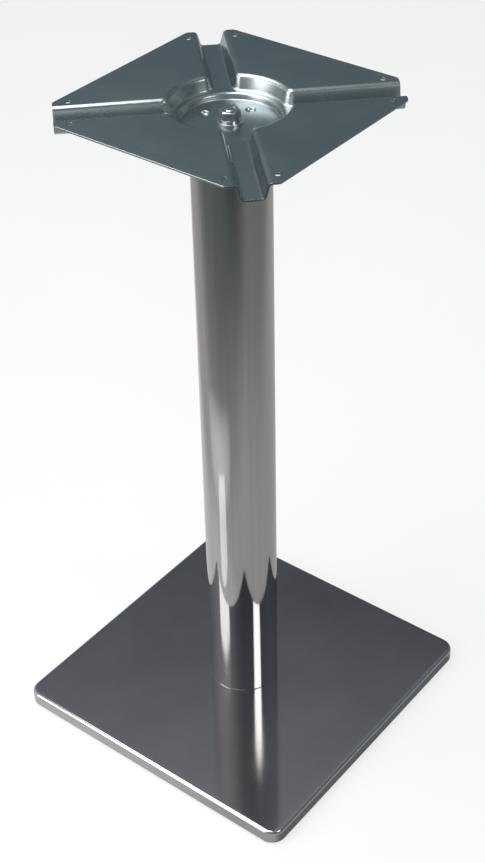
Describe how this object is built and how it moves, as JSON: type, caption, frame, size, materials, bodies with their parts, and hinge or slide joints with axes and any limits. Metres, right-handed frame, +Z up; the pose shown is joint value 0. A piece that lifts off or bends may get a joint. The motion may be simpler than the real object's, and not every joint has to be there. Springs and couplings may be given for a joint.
{
  "type": "pedestal table leg",
  "caption": "Pedestal table leg: square weighted base, round polished column and pressed top plate with screw holes for a table top, on levelling feet.",
  "frame": {"origin": "on the floor under the middle of the column", "axes": "+Z up along the column, X and Y along the sides of the base"},
  "size_m": [0.35, 0.35, 0.72],
  "materials": {
    "polished_steel": "mirror polished stainless sheet and tube",
    "zinc_plate": "satin blue-grey zinc plating on pressed sheet",
    "bright_zinc": "bright zinc plating",
    "black_iron": "black primer on a cast slab",
    "black_nylon": "fine moulded grain"
  },
  "bodies": {
    "leg": {"top_plate": "zinc_plate", "top_flat_washer": "bright_zinc", "top_spring_washer": "bright_zinc", "top_nut": "bright_zinc", "tie_rod": "bright_zinc", "column_tube": "polished_steel", "base_cover": "polished_steel", "centring_disc": "bright_zinc", "base_clamp_washer": "bright_zinc", "base_clamp_nut": "bright_zinc", "ballast_plate": "black_iron", "bottom_washer": "bright_zinc", "bottom_nut": "bright_zinc"},
    "foot_1": {"foot_glide_1": "black_nylon", "foot_stud_1": "bright_zinc"},
    "foot_2": {"foot_glide_2": "black_nylon", "foot_stud_2": "bright_zinc"},
    "foot_3": {"foot_glide_3": "black_nylon", "foot_stud_3": "bright_zinc"},
    "foot_4": {"foot_glide_4": "black_nylon", "foot_stud_4": "bright_zinc"}
  },
  "joints": [
    {"name": "foot_1_height", "type": "slide", "parent": "leg", "child": "foot_1", "axis": [0, 0, -1], "range_m": [0, 0.005]},
    {"name": "foot_2_height", "type": "slide", "parent": "leg", "child": "foot_2", "axis": [0, 0, -1], "range_m": [0, 0.005]},
    {"name": "foot_3_height", "type": "slide", "parent": "leg", "child": "foot_3", "axis": [0, 0, -1], "range_m": [0, 0.005]},
    {"name": "foot_4_height", "type": "slide", "parent": "leg", "child": "foot_4", "axis": [0, 0, -1], "range_m": [0, 0.005]}
  ]
}
